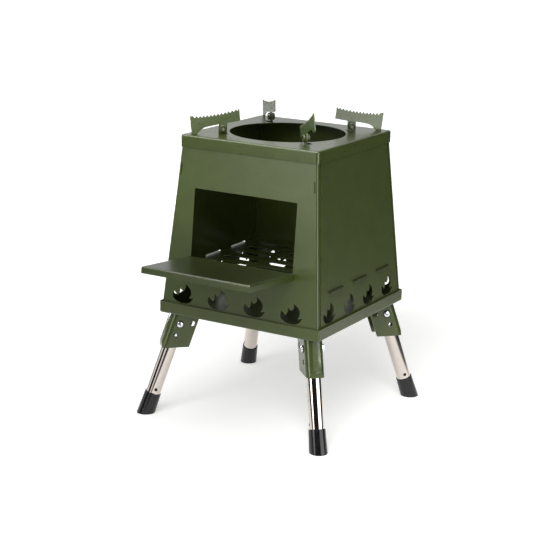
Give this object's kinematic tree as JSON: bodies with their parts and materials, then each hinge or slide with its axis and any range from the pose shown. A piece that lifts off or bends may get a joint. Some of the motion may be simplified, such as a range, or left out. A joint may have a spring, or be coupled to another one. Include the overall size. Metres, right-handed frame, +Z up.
{
  "type": "camping wood stove",
  "caption": "Square tapering sheet-steel camp stove with a fold-up feed shelf, lift-off lid, folding toothed pot supports and fold-away tube legs on rubber feet.",
  "frame": {"origin": "on the ground, under the middle of the stove", "axes": "+Z up, the feed opening and its shelf face -Y, +X to the right of someone facing the opening"},
  "size_m": [0.3238, 0.4086, 0.4712],
  "materials": {
    "body_paint": "satin olive powder coat on sheet steel",
    "grate_paint": "dark olive heat-resistant coat on the grate",
    "lid_paint": "smooth glossy olive-grey coat on the lid",
    "support_paint": "light olive coat on laser-cut plate",
    "bracket_paint": "glossy olive coat on pressed channel",
    "zinc_steel": "bright zinc plate on fasteners and buttons",
    "washer_nylon": "black nylon",
    "polished_tube": "polished stainless tube",
    "spring_steel": "bare spring steel strip",
    "foot_rubber": "moulded black rubber"
  },
  "bodies": {
    "stove": {"base_tray": "body_paint", "front_panel": "body_paint", "right_panel": "body_paint", "back_panel": "body_paint", "left_panel": "body_paint", "grate": "grate_paint", "shelf_pin": "zinc_steel", "bracket_front_right": "bracket_paint", "bracket_back_right": "bracket_paint", "bracket_back_left": "bracket_paint", "bracket_front_left": "bracket_paint", "bracket_rivets": "body_paint", "leg_screws": "zinc_steel", "leg_washers": "washer_nylon", "leg_nuts": "zinc_steel"},
    "lid": {"lid_plate": "lid_paint", "support_rivets": "support_paint"},
    "shelf": {"feed_shelf": "body_paint"},
    "support_front_right": {"pot_support_front_right": "support_paint"},
    "support_back_right": {"pot_support_back_right": "support_paint"},
    "support_back_left": {"pot_support_back_left": "support_paint"},
    "support_front_left": {"pot_support_front_left": "support_paint"},
    "leg_front_right": {"leg_tube_front_right": "polished_tube", "foot_front_right": "foot_rubber", "button_spring_front_right": "spring_steel"},
    "leg_back_right": {"leg_tube_back_right": "polished_tube", "foot_back_right": "foot_rubber", "button_spring_back_right": "spring_steel"},
    "leg_back_left": {"leg_tube_back_left": "polished_tube", "foot_back_left": "foot_rubber", "button_spring_back_left": "spring_steel"},
    "leg_front_left": {"leg_tube_front_left": "polished_tube", "foot_front_left": "foot_rubber", "button_spring_front_left": "spring_steel"},
    "button_front_right": {"lock_button_front_right": "zinc_steel"},
    "button_back_right": {"lock_button_back_right": "zinc_steel"},
    "button_back_left": {"lock_button_back_left": "zinc_steel"},
    "button_front_left": {"lock_button_front_left": "zinc_steel"}
  },
  "joints": [
    {"name": "lid_lift", "type": "slide", "parent": "stove", "child": "lid", "axis": [0, 0, 1], "range_m": [0, 0.12]},
    {"name": "shelf_fold", "type": "hinge", "parent": "stove", "child": "shelf", "pos_m": [0, -0.1306, 0.24272], "axis": [-1, 0, 0], "range_deg": [0, 90]},
    {"name": "support_front_right_fold", "type": "hinge", "parent": "lid", "child": "support_front_right", "pos_m": [0.0693, -0.0693, 0.42945], "axis": [-0.7071, -0.7071, 0], "range_deg": [-32, 34]},
    {"name": "support_back_right_fold", "type": "hinge", "parent": "lid", "child": "support_back_right", "pos_m": [0.0693, 0.0693, 0.42945], "axis": [0.7071, -0.7071, 0], "range_deg": [0, 66]},
    {"name": "support_back_left_fold", "type": "hinge", "parent": "lid", "child": "support_back_left", "pos_m": [-0.0693, 0.0693, 0.42945], "axis": [0.7071, 0.7071, 0], "range_deg": [0, 66]},
    {"name": "support_front_left_fold", "type": "hinge", "parent": "lid", "child": "support_front_left", "pos_m": [-0.0693, -0.0693, 0.42945], "axis": [-0.7071, 0.7071, 0], "range_deg": [0, 66]},
    {"name": "leg_front_right_fold", "type": "hinge", "parent": "stove", "child": "leg_front_right", "pos_m": [0.1142, -0.1142, 0.139], "axis": [0.7071, 0.7071, 0], "range_deg": [0, 109.05]},
    {"name": "leg_back_right_fold", "type": "hinge", "parent": "stove", "child": "leg_back_right", "pos_m": [0.1142, 0.1142, 0.139], "axis": [-0.7071, 0.7071, 0], "range_deg": [0, 109.05]},
    {"name": "leg_back_left_fold", "type": "hinge", "parent": "stove", "child": "leg_back_left", "pos_m": [-0.1142, 0.1142, 0.139], "axis": [-0.7071, -0.7071, 0], "range_deg": [0, 109.05]},
    {"name": "leg_front_left_fold", "type": "hinge", "parent": "stove", "child": "leg_front_left", "pos_m": [-0.1142, -0.1142, 0.139], "axis": [0.7071, -0.7071, 0], "range_deg": [0, 109.05]},
    {"name": "button_front_right_snap", "type": "slide", "parent": "leg_front_right", "child": "button_front_right", "axis": [-0.7071, -0.7071, 0], "range_m": [0, 0.004], "stiffness_N_per_m": 400, "springref_m": 0.0045},
    {"name": "button_back_right_snap", "type": "slide", "parent": "leg_back_right", "child": "button_back_right", "axis": [0.7071, -0.7071, 0], "range_m": [0, 0.004], "stiffness_N_per_m": 400, "springref_m": 0.0045},
    {"name": "button_back_left_snap", "type": "slide", "parent": "leg_back_left", "child": "button_back_left", "axis": [-0.7071, -0.7071, 0], "range_m": [0, 0.004], "stiffness_N_per_m": 400, "springref_m": 0.0045},
    {"name": "button_front_left_snap", "type": "slide", "parent": "leg_front_left", "child": "button_front_left", "axis": [0.7071, -0.7071, 0], "range_m": [0, 0.004], "stiffness_N_per_m": 400, "springref_m": 0.0045}
  ]
}
